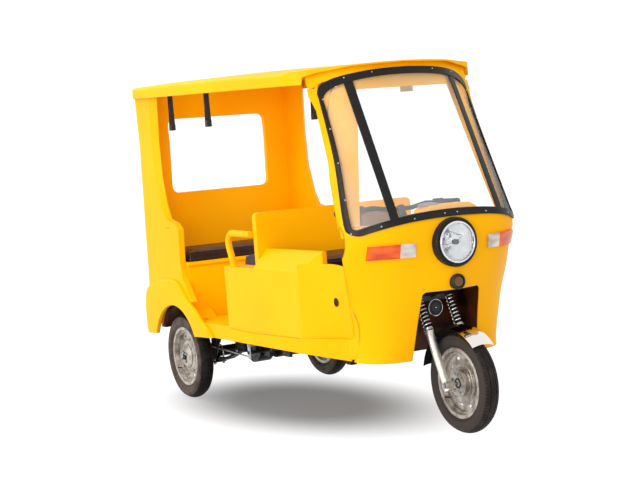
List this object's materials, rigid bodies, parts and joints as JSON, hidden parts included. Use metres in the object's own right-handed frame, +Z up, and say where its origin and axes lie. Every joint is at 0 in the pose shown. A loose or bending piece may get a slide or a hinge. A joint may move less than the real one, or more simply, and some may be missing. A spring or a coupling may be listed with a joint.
{
  "type": "battery auto rickshaw",
  "caption": "Open-sided yellow three-wheeled passenger rickshaw with a raked windscreen, bench seats and a steered front fork.",
  "frame": {"origin": "on the ground below the centre of the vehicle's box", "axes": "+Z up, the vehicle's front faces -Y and its right side is at -X"},
  "size_m": [1.044, 2.715, 1.7959],
  "materials": {
    "yellow_body": "glossy moulded glass-fibre body",
    "yellow_tube": "gloss paint on steel tube",
    "black_rubber": "matt black rubber seal",
    "clear_glass": "clear windscreen",
    "brown_leather": "dark brown leatherette",
    "black_frame": "black painted steel",
    "chrome": "bright chrome",
    "lamp_glass": "clear moulded lens",
    "amber_lens": "amber lens",
    "red_lens": "red lens",
    "black_plastic": "matt black plastic",
    "black_webbing": "black webbing",
    "silver_steel": "silver painted steel",
    "alloy": "cast fork slider",
    "bright_steel": "plated steel",
    "tyre_rubber": "black tyre",
    "battery_case": "battery case"
  },
  "bodies": {
    "body": {"battery_block": "battery_case", "brake_rods": "bright_steel", "chassis_frame": "black_frame", "dashboard": "yellow_body", "driver_backrest": "brown_leather", "driver_cushion": "brown_leather", "floor_tub": "yellow_body", "front_bench_backrest": "brown_leather", "front_bench_cushion": "brown_leather", "front_boss": "black_plastic", "front_shell": "yellow_body", "grab_straps": "black_webbing", "handrails": "yellow_tube", "headlamp_lens": "lamp_glass", "headlamp_ring": "chrome", "headlamp_surround": "black_plastic", "indicators_amber": "amber_lens", "indicators_clear": "lamp_glass", "leaf_springs": "black_frame", "mudguards": "yellow_body", "partition": "yellow_body", "quarter_panels": "yellow_body", "rear_axle": "black_frame", "rear_bench_base": "yellow_body", "rear_bench_cushion": "brown_leather", "rear_wall": "yellow_body", "roof_panel": "yellow_body", "seat_base": "yellow_body", "side_boxes": "yellow_body", "tail_lamps": "red_lens", "wheel_well": "yellow_body", "windscreen_glass": "clear_glass", "windscreen_seal": "black_rubber"},
    "steering": {"fork": "alloy", "fork_springs": "bright_steel", "handlebar": "black_frame", "front_fender": "chrome", "front_axle": "bright_steel", "disc_horn": "black_frame"},
    "front_wheel": {"front_tyre": "tyre_rubber", "front_wheel": "silver_steel"},
    "rear_wheel_left": {"rear_tyre_left": "tyre_rubber", "rear_wheel_left": "silver_steel"},
    "rear_wheel_right": {"rear_tyre_right": "tyre_rubber", "rear_wheel_right": "silver_steel"}
  },
  "joints": [
    {"name": "steer", "type": "hinge", "parent": "body", "child": "steering", "pos_m": [0, -0.8472, 0.7], "axis": [0, 0.4226, 0.9063], "range_deg": [-35, 35]},
    {"name": "front_roll", "type": "hinge", "parent": "steering", "child": "front_wheel", "pos_m": [0, -1.1225, 0.235], "axis": [1, 0, 0], "continuous": true},
    {"name": "rear_roll_left", "type": "hinge", "parent": "body", "child": "rear_wheel_left", "pos_m": [0.44, 0.9565, 0.238], "axis": [1, 0, 0], "continuous": true},
    {"name": "rear_roll_right", "type": "hinge", "parent": "body", "child": "rear_wheel_right", "pos_m": [-0.44, 0.9565, 0.238], "axis": [1, 0, 0], "continuous": true}
  ]
}
